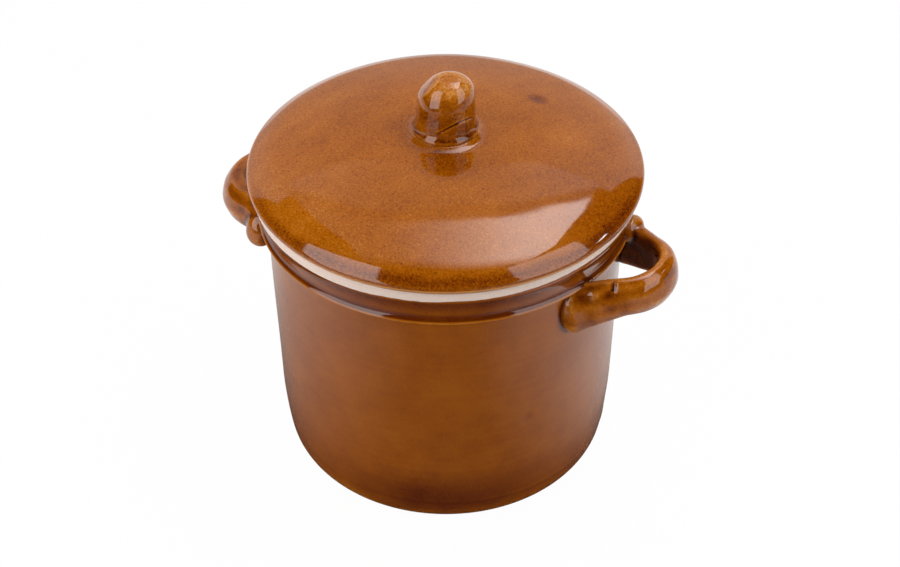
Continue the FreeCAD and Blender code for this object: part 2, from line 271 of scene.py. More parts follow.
# %% Throw the pot
RIM_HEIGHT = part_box("pot_body")[1].z / MM
POT_STEPS = 370
WALL_STEP, RIDGE_STEP, INSIDE_STEP = 1.15, 0.4, 4.0
HEEL_TOP = (83.6, 43.0)
WALL_TOP = (86.6, 137.2)
OUTSIDE_RADIUS = 81.5
OUTSIDE_STARTS, OUTSIDE_ENDS = (14, 30), (128, 137)
INSIDE_STARTS, INSIDE_ENDS = (11, 24), (136, 143)
INSIDE_FLOOR = (30, 60)
OUTSIDE_INSET = 0.3
FINGER_PITCH, FINGER_DEPTH = 8.5, 0.28
FINGER_DENT = seen_from_front(40.1, -75.3, 68.2) * MM
SMALL_DENT = seen_from_front(-14, -84, 92) * MM


def throwing_marks(place):
    """The pot's wall, moved in and out by the fingers that raised it."""
    radius, height = across(place), place.z / MM
    if radius > OUTSIDE_RADIUS:
        on_wall = fade(height, *OUTSIDE_STARTS) * (1 - fade(height, *OUTSIDE_ENDS))
        ring = wander(Vector((0, 0, place.z)), wavelength=3.1, seed=5.0) * 0.05
        sag = wander(place, wavelength=70, seed=2.0) * 0.35
        ripple = wander(place, wavelength=22, seed=8.0) * 0.06
        dents = dent(place, FINGER_DENT, width=3.2, depth=0.45)
        dents += dent(place, SMALL_DENT, width=2.5, depth=0.12)
        move = (ring + sag + ripple - OUTSIDE_INSET) * on_wall - dents
        return place + outwards(place) * MM * move
    around = math.atan2(place.y, place.x) / (2 * math.pi)
    finger = math.sin(2 * math.pi * (height / FINGER_PITCH + around)) * FINGER_DEPTH
    inside = fade(height, *INSIDE_STARTS) * (1 - fade(height, *INSIDE_ENDS))
    return place + outwards(place) * MM * finger * inside * fade(radius, *INSIDE_FLOOR)


pot_outline = Outline(0, 1.2, INSIDE_STEP).line(53, 1.2)
# the foot, the heel and the wall
pot_outline.step(WALL_STEP).line(57, 0.2).line(58, 0).line(65, 0)
pot_outline.arc(15.7, 80.6, 13.77).arc(185, *HEEL_TOP).line(*WALL_TOP)
# the ridge
pot_outline.step(RIDGE_STEP).arc(-1.5, 87.9, 138.5).line(89.8, 138.8).arc(0.75, 90.4, 139.9)
pot_outline.arc(-3, 88.7, 142.4)
# the hollowed collar, the lip and the rim
pot_outline.step(WALL_STEP).arc(-26, 92.3, 153.7).line(92.1, 156.7).arc(2.5, 89.8, RIM_HEIGHT)
pot_outline.line(83.8, RIM_HEIGHT).arc(1.8, 82, 157.5)
# down the inside to the floor
pot_outline.step(INSIDE_STEP).line(82, 150.3).line(80.4, 142.3).line(76.8, 41.78)
pot_outline.arc(34, 42.82, 9).line(0, 9)
pot_mesh = turned(pot_outline, POT_STEPS)
for vertex in pot_mesh.verts:
    vertex.co = throwing_marks(vertex.co)
pot = finished("thrown_pot", pot_mesh)
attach(pot, "pot")
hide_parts("pot_body")

# %% [markdown]
# ## The lid
# The lid is a shallow dome that bends down at the shoulder into a thin rolled edge. It is
# thrown as a bowl and turned over, so its top is trimmed smooth but not quite even. The
# bright studio panels are mirrored in it, and their bent edges show every soft wave.

# %% Throw the lid
SEAT_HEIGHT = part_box("lid")[0].z / MM
LID_STEPS = 320
LID_STEP, DOME_STEP = 1.6, 0.7
LID_SMUDGE = (45.0, 32.6, 178.4)
LID_DENT = seen_from_front(*LID_SMUDGE) * MM
LID_PIT = seen_from_front(-73.2, 37.0, 171.1) * MM
TOP_STARTS = (SEAT_HEIGHT + 3.0, SEAT_HEIGHT + 7.0)
TOP_INSET = 0.15
HOLLOW_RADIUS, HOLLOW_TOP = 74.0, 178.2
HOLLOW_RISE, HOLLOW_DROP = 18.8, 12.0


def on_hollow_side(radius, height):
    """Whether a point of the lid lies under the dome."""
    ceiling = SEAT_HEIGHT + HOLLOW_RISE - (radius / HOLLOW_RADIUS) ** 2 * HOLLOW_DROP
    return radius < HOLLOW_RADIUS and height < min(HOLLOW_TOP, ceiling)


def trimming_waves(place):
    """The lid's top, a little wavy. The seat underneath stays flat, because it was ground."""
    radius, height = across(place), place.z / MM
    if on_hollow_side(radius, height):
        return place
    wave = wander(place, wavelength=38, seed=3.0) * 0.22
    ripple = wander(place, wavelength=15, seed=6.0) * 0.035
    turning = wander(Vector((radius * MM, 0, 0)), wavelength=6.5, seed=4.0) * 0.02
    dents = dent(place, LID_DENT, width=2.6, depth=0.3)
    dents += dent(place, LID_PIT, width=1.6, depth=0.25)
    rise = (wave + ripple + turning - TOP_INSET - dents) * fade(height, *TOP_STARTS)
    return place + Vector((0, 0, rise * MM))


lid_outline = Outline(0, 177.8, LID_STEP)
# the hollow and the seat
lid_outline.arc(-219.01, 71.5, 165.8).line(75, SEAT_HEIGHT).line(92.1, SEAT_HEIGHT)
# the rolled edge, the shoulder and the dome
lid_outline.step(DOME_STEP).arc(2.7, 93.8, 164.37).arc(40, 80.4, 171.75).arc(265, 50, 179.58)
lid_outline.arc(150, 30, 182.08).arc(450, 20.8, 182.52)
# the fillet that meets the knob
lid_outline.arc(-9.5, 15.6, 184.7).line(0, 184.7)
lid_mesh = turned(lid_outline, LID_STEPS)
for vertex in lid_mesh.verts:
    vertex.co = trimming_waves(vertex.co)
lid = finished("thrown_lid", lid_mesh)
note_glaze_depth(lid, gain=1.0, passes=3)
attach(lid, "lid")
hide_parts("lid")

# %% [markdown]
# ## The flange under the lid
# A ring of clay drops inside the mouth and keeps the lid in its place. It is wiped clean of
# glaze, or the firing would weld the lid to the pot. It is turned on the same wheel as the
# lid, and a slow wave keeps it from being a perfect ring.

# %% Turn the flange
flange_outline = Outline(75.6, 160.2)
flange_outline.line(75.6, 151.7).arc(-1.6, 77.2, 150.1).line(78.6, 150.1)
flange_outline.arc(-1.6, 80.2, 151.7).line(80.2, 160.2).line(75.6, 160.2)
flange_mesh = turned(flange_outline, LID_STEPS)
for vertex in flange_mesh.verts:
    vertex.co += outwards(vertex.co) * MM * wander(vertex.co, wavelength=30, seed=11.0) * 0.2
flange = finished("locating_flange", flange_mesh)
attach(flange, "lid")
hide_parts("lid_flange")

# %% [markdown]
# ## The knob
# The knob is a thimble of clay, drawn up between wet fingers. It starts as a turned shape.
# Then its dome is pushed over to one side and flattened on the other, so that one slope is
# long and the other steep, and a drying crack runs slantwise across the front. Moving
# vertices by a few smooth rules keeps it one clean skin.

# %% Pull the knob
KNOB_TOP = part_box("lid_knob")[1].z / MM
KNOB_STEPS = 220
KNOB_STEP = 0.36
DOME_PUSH, SIDE_PUSH = 1.8, 0.6
DOME_MIDDLE = Vector((0, 0, 200.43))
FLAT_SIDE = Vector((-0.70, 0.10, 0.70)).normalized()
FLAT_REACH, FLAT_SOFTNESS = 10.2, 1.6
CRACK_HEIGHT, CRACK_MIDDLE, CRACK_BOW = 196.3, -32.0, 0.0022
CRACK_STARTS, CRACK_ENDS = (-96, -58), (-18, -6)
CRACK_WIDTH, CRACK_DEPTH = 0.45, 0.55
KNOB_CORE = 9


def cracked(place, height):
    """How deep the drying crack is at a point, whose height is given in millimetres."""
    turn = math.degrees(math.atan2(place.y, place.x))
    line_height = CRACK_HEIGHT - CRACK_BOW * (turn - CRACK_MIDDLE) ** 2
    share = fade(turn, *CRACK_STARTS) * (1 - fade(turn, *CRACK_ENDS))
    share *= across(place) > KNOB_CORE
    return CRACK_DEPTH * share * math.exp(-((height - line_height) / CRACK_WIDTH) ** 2)


def squeezed(place):
    """The knob's skin after the potter's fingers let go."""
    seen = Matrix.Rotation(-VIEW_AZIMUTH, 3, "Z") @ place / MM
    lump = wander(place, wavelength=9, seed=14.0) * 0.32
    lump += wander(place, wavelength=3.5, seed=15.0) * 0.07
    lump *= fade(seen.z, 186, 190) * (1 - fade(seen.z, 207, 212))
    skirt = wander(place, wavelength=7, seed=17.0) * 0.35 * (1 - fade(seen.z, 186, 192))
    crack = cracked(place, seen.z)
    seen.x += DOME_PUSH * fade(seen.z, 200, 213.5) + SIDE_PUSH * fade(seen.z, 186, 198)
    past_flat = max(0.0, (seen - DOME_MIDDLE).dot(FLAT_SIDE) - FLAT_REACH)
    seen -= FLAT_SIDE * past_flat ** 2 / (past_flat + FLAT_SOFTNESS)
    moved = Matrix.Rotation(VIEW_AZIMUTH, 3, "Z") @ (seen * MM)
    return moved + outwards(place) * MM * (lump + skirt - crack)


knob_outline = Outline(0, 182.6, KNOB_STEP)
knob_outline.line(14.2, 182.6).line(14.9, 183.6).arc(1.9, 15.4, 186.6).arc(-9, 14.2, 191.4)
knob_outline.line(13.8, 200.4).arc(13.45, 0, KNOB_TOP - 0.15)
knob_mesh = turned(knob_outline, KNOB_STEPS)
for vertex in knob_mesh.verts:
    vertex.co = squeezed(vertex.co)
knob = finished("pulled_knob", knob_mesh)
note_glaze_depth(knob, gain=0.9, passes=5)
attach(knob, "lid")
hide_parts("lid_knob")

# %% [markdown]
# ## Bending a strap for a handle
# Each handle is a thick strap of clay bent into a loop. It could be a curve with a bevel,
# but then its section would be the same all the way. Here one D-shaped section is swung
# round the bend, and its two ends are pulled on towards the wall in short steps that make
# them taller and fatter, as a strap spreads where it is pressed on.

# %% Bend the strap
LOOP_ANGLE = math.radians(65.0)
LOOP_STEPS = 30
LEG_STEPS = 6
LEG_STEP = 4.3
SECTION_BEVEL = 1.2 * MM
D_SECTION = [(-0.50, -0.82), (-0.50, 0.42), (-0.36, 0.84), (-0.06, 0.97), (0.34, 0.70),
             (0.50, 0.15), (0.47, -0.45), (0.15, -0.98), (-0.28, -1.00)]


def faces_of(found):
    """The faces among the geometry that an operator returns."""
    return [item for item in found if isinstance(item, bmesh.types.BMFace)]


def verts_of(found):
    """The vertices among the geometry that an operator returns."""
    return [item for item in found if isinstance(item, bmesh.types.BMVert)]


def pull_leg(mesh, cap, side, tall, fat, dip):
    """Pulls the strap's end on to the wall. Each step grows and drops it a little."""
    way = Vector((-math.sin(LOOP_ANGLE), side * math.cos(LOOP_ANGLE), 0)) * LEG_STEP * MM
    for _ in range(LEG_STEPS):
        grown = bmesh.ops.extrude_face_region(mesh, geom=cap)["geom"]
        bmesh.ops.delete(mesh, geom=[face for face in cap if face.is_valid], context="FACES_ONLY")
        rim = verts_of(grown)
        bmesh.ops.translate(mesh, verts=rim, vec=way + Vector((0, 0, -dip * MM)))
        middle = sum((vertex.co for vertex in rim), Vector()) / len(rim)
        bmesh.ops.scale(mesh, verts=rim, vec=(fat, fat, tall), space=Matrix.Translation(-middle))
        cap = faces_of(grown)


def bend_strap(mesh, reach, bend, thickness, width, lean, legs):
    """The loop and its two legs, level at height 0. Its top leans in towards the wall."""
    corners = [(reach + x * thickness, z * width / 2) for x, z in D_SECTION]
    section = mesh.faces.new([mesh.verts.new((x * MM, 0, z * MM)) for x, z in corners])
    bmesh.ops.bevel(mesh, geom=section.verts[:], offset=SECTION_BEVEL, affect="VERTICES",
                    segments=3, profile=0.5, material=-1)
    bmesh.ops.rotate(mesh, verts=mesh.verts[:], cent=(reach * MM, 0, 0),
                     matrix=Matrix.Rotation(-lean, 3, "Y"))
    centre = Vector(((reach - bend) * MM, 0, 0))
    bmesh.ops.rotate(mesh, verts=mesh.verts[:], cent=centre,
                     matrix=Matrix.Rotation(-LOOP_ANGLE, 3, "Z"))
    start = mesh.faces[:]
    swung = bmesh.ops.spin(mesh, geom=start, cent=centre, axis=(0, 0, 1), angle=2 * LOOP_ANGLE,
                           steps=LOOP_STEPS)
    ends = {-1: start, 1: faces_of(swung["geom_last"])}
    for side, cap in ends.items():
        pull_leg(mesh, cap, side, *legs[side])
    bmesh.ops.recalc_face_normals(mesh, faces=mesh.faces[:])
    return centre


print("each leg is pulled", round(LEG_STEPS * LEG_STEP, 1), "mm towards the wall")

# %% [markdown]
# ## Welding and pressing the clay
# Wads of clay are pressed on where the strap meets the wall, and thumbs leave dents and a
# small fold there. The wads are squashed balls. Left as they are, the lumps would show sharp
# seams where they cross, and a Boolean union would keep those. A voxel remesh melts them
# into one skin, as wet clay does under a thumb, and smoothing takes the steps out.

# %% Weld, smooth and press the clay
REMESH_VOXEL = 0.55 * MM
SMOOTHING_ROUNDS = 16
CREASE_STEP = 0.5 * MM
CREASE_WIDTH = 1.4 * MM
CREASE_DEPTH = 0.5
ROOT_REACH = (6, 17)


def add_wads(mesh, wads):
    """Adds squashed balls, each given by its place and three half sizes in millimetres."""
    places = []
    for seat, spread, drop, deep, wide, tall in wads:
        ball = bmesh.ops.create_icosphere(mesh, subdivisions=4, radius=MM)["verts"]
        bmesh.ops.scale(mesh, vec=(deep, wide, tall), verts=ball)
        places.append(Vector((seat, spread, drop)) * MM)
        bmesh.ops.translate(mesh, vec=places[-1], verts=ball)
    return places


def welded(name, mesh):
    """The separate lumps as one smooth skin of clay."""
    lumps = finished(name + "_lumps", mesh)
    weld = lumps.modifiers.new("weld_clay", "REMESH")
    weld.mode = "VOXEL"
    weld.voxel_size = REMESH_VOXEL
    graph = bpy.context.evaluated_depsgraph_get()
    clay = bmesh.new()
    clay.from_mesh(bpy.data.meshes.new_from_object(lumps.evaluated_get(graph)))
    bpy.data.objects.remove(lumps)
    for _ in range(SMOOTHING_ROUNDS):
        bmesh.ops.smooth_vert(clay, verts=clay.verts[:], factor=0.5, use_axis_x=True,
                              use_axis_y=True, use_axis_z=True)
    return clay


def drawn_line(points):
    """A search tree of places a short step apart along a line drawn in the clay."""
    places = []
    for start, end in zip(points, points[1:]):
        start, end = Vector(start) * MM, Vector(end) * MM
        steps = max(1, round((end - start).length / CREASE_STEP))
        places += [start.lerp(end, step / steps) for step in range(steps)]
    tree = KDTree(len(places))
    for index, spot in enumerate(places):
        tree.insert(spot, index)
    tree.balance()
    return tree


def pressed(place, roots, dents, creases):
    """How far fingers pressed the clay in, in millimetres, and how much of it is a crease."""
    nearest = min((place - root).length for root in roots) / MM
    press = (1 - fade(nearest, *ROOT_REACH)) * wander(place, wavelength=8, seed=33.0) * -0.5
    press += sum(dent(place, Vector(spot) * MM, width, deep) for *spot, width, deep in dents)
    line = sum(math.exp(-(tree.find(place)[2] / CREASE_WIDTH) ** 2) for tree in creases)
    return press + line * CREASE_DEPTH, min(line, 1.0)


# %% [markdown]
# ## Fitting a handle to the wall
# A handle is shaped on the bench before it goes on the pot, so it is built level at height 0.
# Then it is lifted, tilted and turned to its place. What would poke through to the inside of
# the pot is pushed back into the wall's thickness. Glaze lies a little deeper on the inner
# face of the loop and in the corner beside the wall, and painted shade darkens both places
# further. That is noted along the way.

# %% Fit a handle
SUNK_RADIUS = 82.8
WALL_LEAN = 0.0317
# deeper glaze and painted shade on the loop's inner face and in the corner by the wall
INNER_FACE, INNER_SHADE_AND_POOLING = (0.3, 0.85), 0.2
WALL_GAP, GAP_SHADE_AND_POOLING = (0.3, 2.0), 0.12
CREASE_POOLING = 0.08


def wall_radius(height):
    """The radius of the pot's wall at a height, both in millimetres."""
    return HEEL_TOP[0] + (height - HEEL_TOP[1]) * WALL_LEAN


def fitting(height, rise, azimuth):
    """The move from the bench to the pot's wall."""
    pivot = Vector((WALL_TOP[0] * MM, 0, 0))
    tilt = Matrix.Translation(pivot) @ Matrix.Rotation(-rise, 4, "Y") @ Matrix.Translation(-pivot)
    return Matrix.Rotation(azimuth, 4, "Z") @ Matrix.Translation((0, 0, height * MM)) @ tilt


def make_handle(name, reach, height, rise, azimuth, bend, thickness, width, lean, legs, wads,
                dents=(), creases=()):
    """A loop with its wads, fitted to the wall at an azimuth."""
    mesh = bmesh.new()
    loop_centre = bend_strap(mesh, reach, bend, thickness, width, lean, legs)
    roots = add_wads(mesh, wads)
    clay = welded(name, mesh)
    clay.normal_update()
    lines = [drawn_line(points) for points in creases]
    hollows_and_shade = []
    for vertex in clay.verts:
        outward = vertex.co - loop_centre
        outward.z = 0
        facing = -vertex.normal.dot(outward.normalized())
        press, crease = pressed(vertex.co, roots, dents, lines)
        # the loop's inner face: deeper glaze and painted shade
        hollows_and_shade.append(fade(facing, *INNER_FACE) * INNER_SHADE_AND_POOLING + crease * CREASE_POOLING)
        lump = wander(vertex.co, wavelength=12, seed=21.0) * 0.3
        lump += wander(vertex.co, wavelength=5, seed=22.0) * 0.07
        vertex.co += vertex.normal * MM * (lump - press)
    bmesh.ops.transform(clay, matrix=fitting(height, rise, azimuth), verts=clay.verts[:])
    pooled_and_shade = []
    for vertex, hollow in zip(clay.verts, hollows_and_shade):
        gap = across(vertex.co) - wall_radius(vertex.co.z / MM)
        # the corner beside the wall: deeper glaze and painted shade
        pooled_and_shade.append(hollow + GAP_SHADE_AND_POOLING * (1 - fade(gap, *WALL_GAP)))
        vertex.co += outwards(vertex.co) * MM * max(0.0, SUNK_RADIUS - across(vertex.co))
    piece = finished(name, clay)
    note_glaze_depth(piece, gain=1.5, passes=4, pooled_and_shade=np.array(pooled_and_shade))
    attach(piece, "pot")
    return piece


# %% [markdown]
# ## The right and the left handle
# Both handles were pulled by hand and they aren't twins. The right one is longer and
# thinner and rises outwards. The left one is thicker and leans in over the collar. The near
# and the far leg are told apart by -1 and 1, and each says how much taller and fatter it
# grows at every step and how far it drops. A dent is its place, its width and its depth.

# %% Make the two handles
HANDLE_SWING = math.radians(7.0)
LEFT_SWING_BACK = math.radians(1.0)

right_handle = make_handle(
    "right_lug_handle", reach=115.8, height=131.8, rise=math.radians(9), azimuth=-HANDLE_SWING,
    bend=20, thickness=9.8, width=20.5, lean=0.0,
    legs={-1: (1.055, 1.035, 0.75), 1: (1.07, 1.02, 0.2)},
    wads=[(80.5, -28.5, -5.5, 6.5, 6.5, 12.5), (85, -24, 1, 6.5, 7, 8),
          (80.5, 28.5, -2, 6.5, 6.5, 13), (88, 24, 7.3, 6.5, 8.5, 6)],
    dents=[(88.5, -32, 4.5, 5.0, 1.5), (99.5, -26, 5, 4.0, 1.2), (93.8, -29, 5, 2.6, -0.8),
           (95, -24, 9.5, 2.6, 0.5), (92, -31, -11, 6.0, 0.6), (96, 21, 12, 2.2, 0.9),
           (94, 16, 2, 4.0, 0.6)],
    creases=[[(100.3, -20.8, 10), (101, -23.5, 6.5)]])
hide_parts("handle_right")
left_handle = make_handle(
    "left_lug_handle", reach=106.0, height=135.3, rise=math.radians(-4),
    azimuth=math.pi + HANDLE_SWING - LEFT_SWING_BACK, bend=22.5, thickness=13.0, width=20.5,
    lean=math.radians(20), legs={-1: (1.045, 1.1, -0.3), 1: (1.055, 1.04, 0.4)},
    wads=[(86, 29, -6.5, 7, 7, 9), (82, -27, -1, 7, 9, 12)],
    dents=[(98, 27, 3, 4.0, 0.5)])
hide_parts("handle_left")

# %% [markdown]
# ## Glaze and painted shade in the corners
# Where a handle meets the wall, glaze bridges the corner and fills it, and painted shade
# darkens the corner as well. The pot's own mesh can't know how near a handle is, so a search
# tree over both handles measures it.

# %% Measure the pot's glaze and painted corner shade
CORNER_SEARCH = 4 * MM
CORNER_REACH = (0.6, 2.8)
CORNER_SHADE_AND_POOLING = 0.45
FAR_AWAY = 1.0

handle_trees = []
for piece in (right_handle, left_handle):
    shape = bmesh.new()
    shape.from_mesh(piece.data)
    handle_trees.append(BVHTree.FromBMesh(shape))
    shape.free()
corner_glaze_and_shade = []
for vertex in pot.data.vertices:
    gaps = [tree.find_nearest(vertex.co, CORNER_SEARCH)[3] for tree in handle_trees]
    near = min((gap for gap in gaps if gap is not None), default=FAR_AWAY) / MM
    # deeper glaze and painted shade in the corner beside a handle
    corner_glaze_and_shade.append(CORNER_SHADE_AND_POOLING * (1 - fade(near, *CORNER_REACH)))
note_glaze_depth(pot, gain=1.8, passes=2, pooled_and_shade=np.array(corner_glaze_and_shade))

# %% [markdown]
# ## Writing shaders as sums
# A glaze is a heap of small effects: thickness, mottling, specks, pits. Wiring each sum by
# hand in the node editor is slow and hard to read. This class wraps one output of a node,
# so that plain arithmetic on it adds the Math nodes, and one method adds any other node.

# %% A socket that does arithmetic
MIX_SHARE, MIX_FIRST, MIX_SECOND, MIXED_COLOUR = 0, 6, 7, 2


def feed(node, inputs):
    """Gives a node's inputs their plain values, or their links from other nodes."""
    for name, value in inputs.items():
        if isinstance(value, Shade):
            value.tree.links.new(value.socket, node.inputs[name])
        else:
            node.inputs[name].default_value = value


class Shade:
    """An output of a shader node in a material's tree."""

    def __init__(self, tree, socket=None):
        self.tree = tree
        self.socket = socket

    def node(self, kind, settings=None, inputs=None, output=0):
        """Adds a node: first its settings, then the values or links of its sockets."""
        made = self.tree.nodes.new("ShaderNode" + kind)
        for name, value in (settings or {}).items():
            if name == "stops":
                while len(made.color_ramp.elements) < len(value):
                    made.color_ramp.elements.new(0.5)
                for stop, (position, colour) in zip(made.color_ramp.elements, value):
                    stop.position = position
                    stop.color = (*colour, 1)
            else:
                setattr(made, name, value)
        feed(made, inputs or {})
        return Shade(self.tree, made.outputs[output])

    def maths(self, operation, *values):
        """A Math node on some values or sockets."""
        return self.node("Math", {"operation": operation}, dict(enumerate(values)))

    def __add__(self, other):
        return self.maths("ADD", self, other)

    def __sub__(self, other):
        return self.maths("SUBTRACT", self, other)

    def __rsub__(self, other):
        return self.maths("SUBTRACT", other, self)

    def __mul__(self, other):
        return self.maths("MULTIPLY", self, other)

    def ramp(self, start, end):
        """0 before start and 1 after end, with a smooth ramp between them."""
        return self.node("MapRange", {"interpolation_type": "SMOOTHSTEP"},
                         {"Value": self, "From Min": start, "From Max": end})

    def noise(self, place, size, detail=2.0, rough=0.5):
        """Soft noise from 0 to 1 whose lumps are a size in millimetres."""
        return self.node("TexNoise", {"noise_dimensions": "3D"},
                         {"Vector": place, "Scale": 1 / (size * MM), "Detail": detail,
                          "Roughness": rough})

    def blend(self, share, first, second):
        """One colour over another."""
        return self.node("Mix", {"data_type": "RGBA"},
                         {MIX_SHARE: share, MIX_FIRST: first, MIX_SECOND: second},
                         output=MIXED_COLOUR)


def new_material(name):
    """An empty material: its tree's first wrapper, and the shader that ends it."""
    material = bpy.data.materials.new(name)
    material.use_nodes = True
    tree = material.node_tree
    shader = tree.nodes["Principled BSDF"]
    return material, Shade(tree), shader


# %% [markdown]
# ## The brown glaze
# The glaze is a honey-coloured glass with iron in it, melted over pale clay. Where it is
# thin it is amber, and where it is thick it goes through brown to almost black, so its
# colour comes from one number, its depth, through a colour ramp. The depth is the stored
# hollow of the surface plus clouds, a fine mottle and small dark iron specks. On the pot,
# the lid and the handles it also carries painted shade, and on the pot and lid painted light.

# %% Mix the glaze
GLAZE_STOPS = [(0.00, (0.52, 0.220, 0.0500)),
               (0.20, (0.37, 0.105, 0.0035)),
               (0.42, (0.265, 0.064, 0.0006)),
               (0.68, (0.115, 0.018, 0.0004)),
               (1.00, (0.018, 0.003, 0.0007))]
GLAZE_IOR = 1.52
BARE_CLAY = (0.80, 0.66, 0.58, 1)
CLAY_SHADE = (0.66, 0.50, 0.42, 1)
BARE_ROUGHNESS = 0.75
CLOUD_MEAN, GRAIN_MEAN = 0.7, 0.85
SPECK_SPACING = 1.7 * MM
SKIN_BUMP = {"Strength": 0.3, "Distance": 0.03 * MM}


def bare_clay(maker, place):
    """The dusty colour of clay without glaze, and the dust itself."""
    dust = maker.noise(place, 0.8, 3.0)
    return maker.blend(dust, BARE_CLAY, CLAY_SHADE), dust


def glaze_material(name, base_depth, pooling, clouds, mottle, gloss, cloud_size=30, bare=None,
                   flow_and_shade=None, polish=None):
    """Brown glaze. bare shows clay, flow_and_shade adds runs and painted shade, polish melt."""
    material, maker, shader = new_material(name)
    place = maker.node("TexCoord", output="Object")
    # the stored depth: hollows, plus painted shade in the corners and on the loops' inner faces
    hollow = maker.node("Attribute", {"attribute_name": "glaze_depth"}, output="Fac")
    cloud = maker.noise(place, cloud_size, 3.0) + maker.noise(place, cloud_size / 3, 2.0) * 0.4
    grain = maker.noise(place, 1.1, 2.0) + maker.noise(place, 0.55, 1.0) * 0.7 - GRAIN_MEAN
    speck_field = maker.node("TexVoronoi", {}, {"Vector": place, "Scale": 1 / SPECK_SPACING})
    specks = (maker.noise(place, 2.2, 1.0) * 0.4 - speck_field).ramp(0.03, 0.10)
    depth = (hollow - FLAT_DEPTH) * pooling + base_depth + (cloud - CLOUD_MEAN) * clouds
    depth = depth + grain * mottle + specks * mottle * 0.45
    # flow_and_shade adds runs of glaze, and on the pot and the lid painted shade and light
    if flow_and_shade:
        depth = depth + flow_and_shade(maker, place)
    colour = maker.node("ValToRGB", {"stops": GLAZE_STOPS}, {"Fac": depth})
    rough = grain * 0.04 + gloss
    if polish:
        rough = rough - polish(maker, place)
    if bare:
        share = bare(maker, place)
        colour = maker.blend(share, colour, bare_clay(maker, place)[0])
        rough = rough + share * (BARE_ROUGHNESS - gloss)
    skin = maker.noise(place, 3.5, 2.0) + maker.noise(place, 0.9, 1.0) * 0.1
    relief = maker.node("Bump", {}, {"Height": skin, **SKIN_BUMP})
    feed(shader, {"Base Color": colour, "Roughness": rough, "Normal": relief, "IOR": GLAZE_IOR})
    return material


# %% [markdown]
# ## Where the glaze ran on the pot, and its painted shade
# A potter dips the pot and wipes its lip and its base, so that it doesn't stick to the lid
# or to the kiln shelf. In the fire the glaze runs down, stops thick above the foot and
# gathers under the lip. Shade is painted on as well: above the foot, more at the front,
# under the lid's overhang, and as a shadow along the rim's top edge. A pale reflection is
# painted over the heel. All of that depends only on where a point is, so it is written as
# formulas of Object coordinates, with a little noise so that no edge is exact.

# %% Run the glaze down the pot
GLAZE_LINE = 154.2
GLAZE_LINE_TILT = 16
LINE_SOFTNESS = 0.12
# where the rim's top edge gets glaze colour as a painted shadow of the gap under the lid
GAP_SHADOW_HEIGHT, GAP_SHADOW_RADIUS = (157.9, 158.4), (89.4, 90.2)
WIPED_BASE = (0.9, 0.6)


def reach_along(maker, place, way):
    """How far a shaded point reaches along a direction."""
    return maker.node("VectorMath", {"operation": "DOT_PRODUCT"}, {0: place, 1: way},
                      output="Value")


def height_of(maker, place):
    """How high a shaded point is, in millimetres."""
    return maker.node("SeparateXYZ", {}, {0: place}, output="Z") * (1 / MM)


def radius_of(maker, place):
    """How far a shaded point is from the pot's axis, in millimetres."""
    flat = maker.node("VectorMath", {"operation": "MULTIPLY"}, {0: place, 1: (1, 1, 0)})
    return maker.node("VectorMath", {"operation": "LENGTH"}, {0: flat}, output="Value") * (1 / MM)


def frontness(maker, place, start, end):
    """0 behind a distance towards the viewer and 1 past another, in millimetres."""
    return reach_along(maker, place, seen_from_front(0, -1, 0)).ramp(start * MM, end * MM)


def above_glaze_line(maker, place):
    """Bare clay over the lip, glaze-brown along its top edge as a painted shadow under the lid,
    and on the base.
    """
    wobble = (maker.noise(place, 30, 1.0) - 0.5) * 2.0 + (maker.noise(place, 4, 1.0) - 0.5) * 0.5
    right = reach_along(maker, place, seen_from_front(1, 0, 0))
    height = height_of(maker, place)
    over_line = height + wobble - right * GLAZE_LINE_TILT
    lip = over_line.ramp(GLAZE_LINE - LINE_SOFTNESS, GLAZE_LINE + LINE_SOFTNESS)
    painted_gap_shadow = height.ramp(*GAP_SHADOW_HEIGHT) * radius_of(maker, place).ramp(*GAP_SHADOW_RADIUS)
    return lip * (1 - painted_gap_shadow) + height.ramp(*WIPED_BASE)


def run_and_shade_on_pot(maker, place):
    """Glaze run down over the foot and under the lip, with painted shade there and a painted
    reflection on the heel.
    """
    height = height_of(maker, place)
    wavy = height + (maker.noise(place, 25, 1.0) - 0.5) * 8
    # deeper glaze above the foot, with painted shade that grows towards the front
    over_foot = wavy.ramp(48, 20) * (frontness(maker, place, 60, 84) * 0.18 + 0.05)
    # thinner glaze over the heel, which also stands in for a painted reflection of the table
    heel_thin_and_reflection = wavy.ramp(14, 6) * 0.26
    # glaze gathered under the lip, with painted shade under the lid's overhang
    under_lip = height.ramp(141.5, 150) * 0.2
    return over_foot - heel_thin_and_reflection + under_lip


def glossy_collar(maker, place):
    """The glaze lies thicker round the collar, so it melted smoother there."""
    return height_of(maker, place).ramp(132, 138) * 0.1


pot.data.materials.append(
    glaze_material("pot_glaze", base_depth=0.42, pooling=0.9, clouds=0.26, mottle=0.12,
                   gloss=0.17, bare=above_glaze_line, flow_and_shade=run_and_shade_on_pot, polish=glossy_collar))
print("pot_glaze has", len(pot.data.materials[0].node_tree.nodes), "nodes")

# %% [markdown]
# ## Where the glaze ran on the lid, and its painted shade
# The lid is fired flat, so its glaze hardly runs. It gathers along the edge, thins over the
# rolled edge, and keeps the streaks of the hand that wiped it on. Painted shade darkens the
# front edge and the right side, painted light brightens the left side, and a painted shadow
# lies in front of the knob. Soft round patches and a stretched noise are enough for that.

# %% Pool the glaze on the lid
SEAT_WIPED = (SEAT_HEIGHT + 0.3, SEAT_HEIGHT + 0.1)


def under_lid_seat(maker, place):
    """Bare clay on the seat that rests on the rim."""
    return height_of(maker, place).ramp(*SEAT_WIPED)


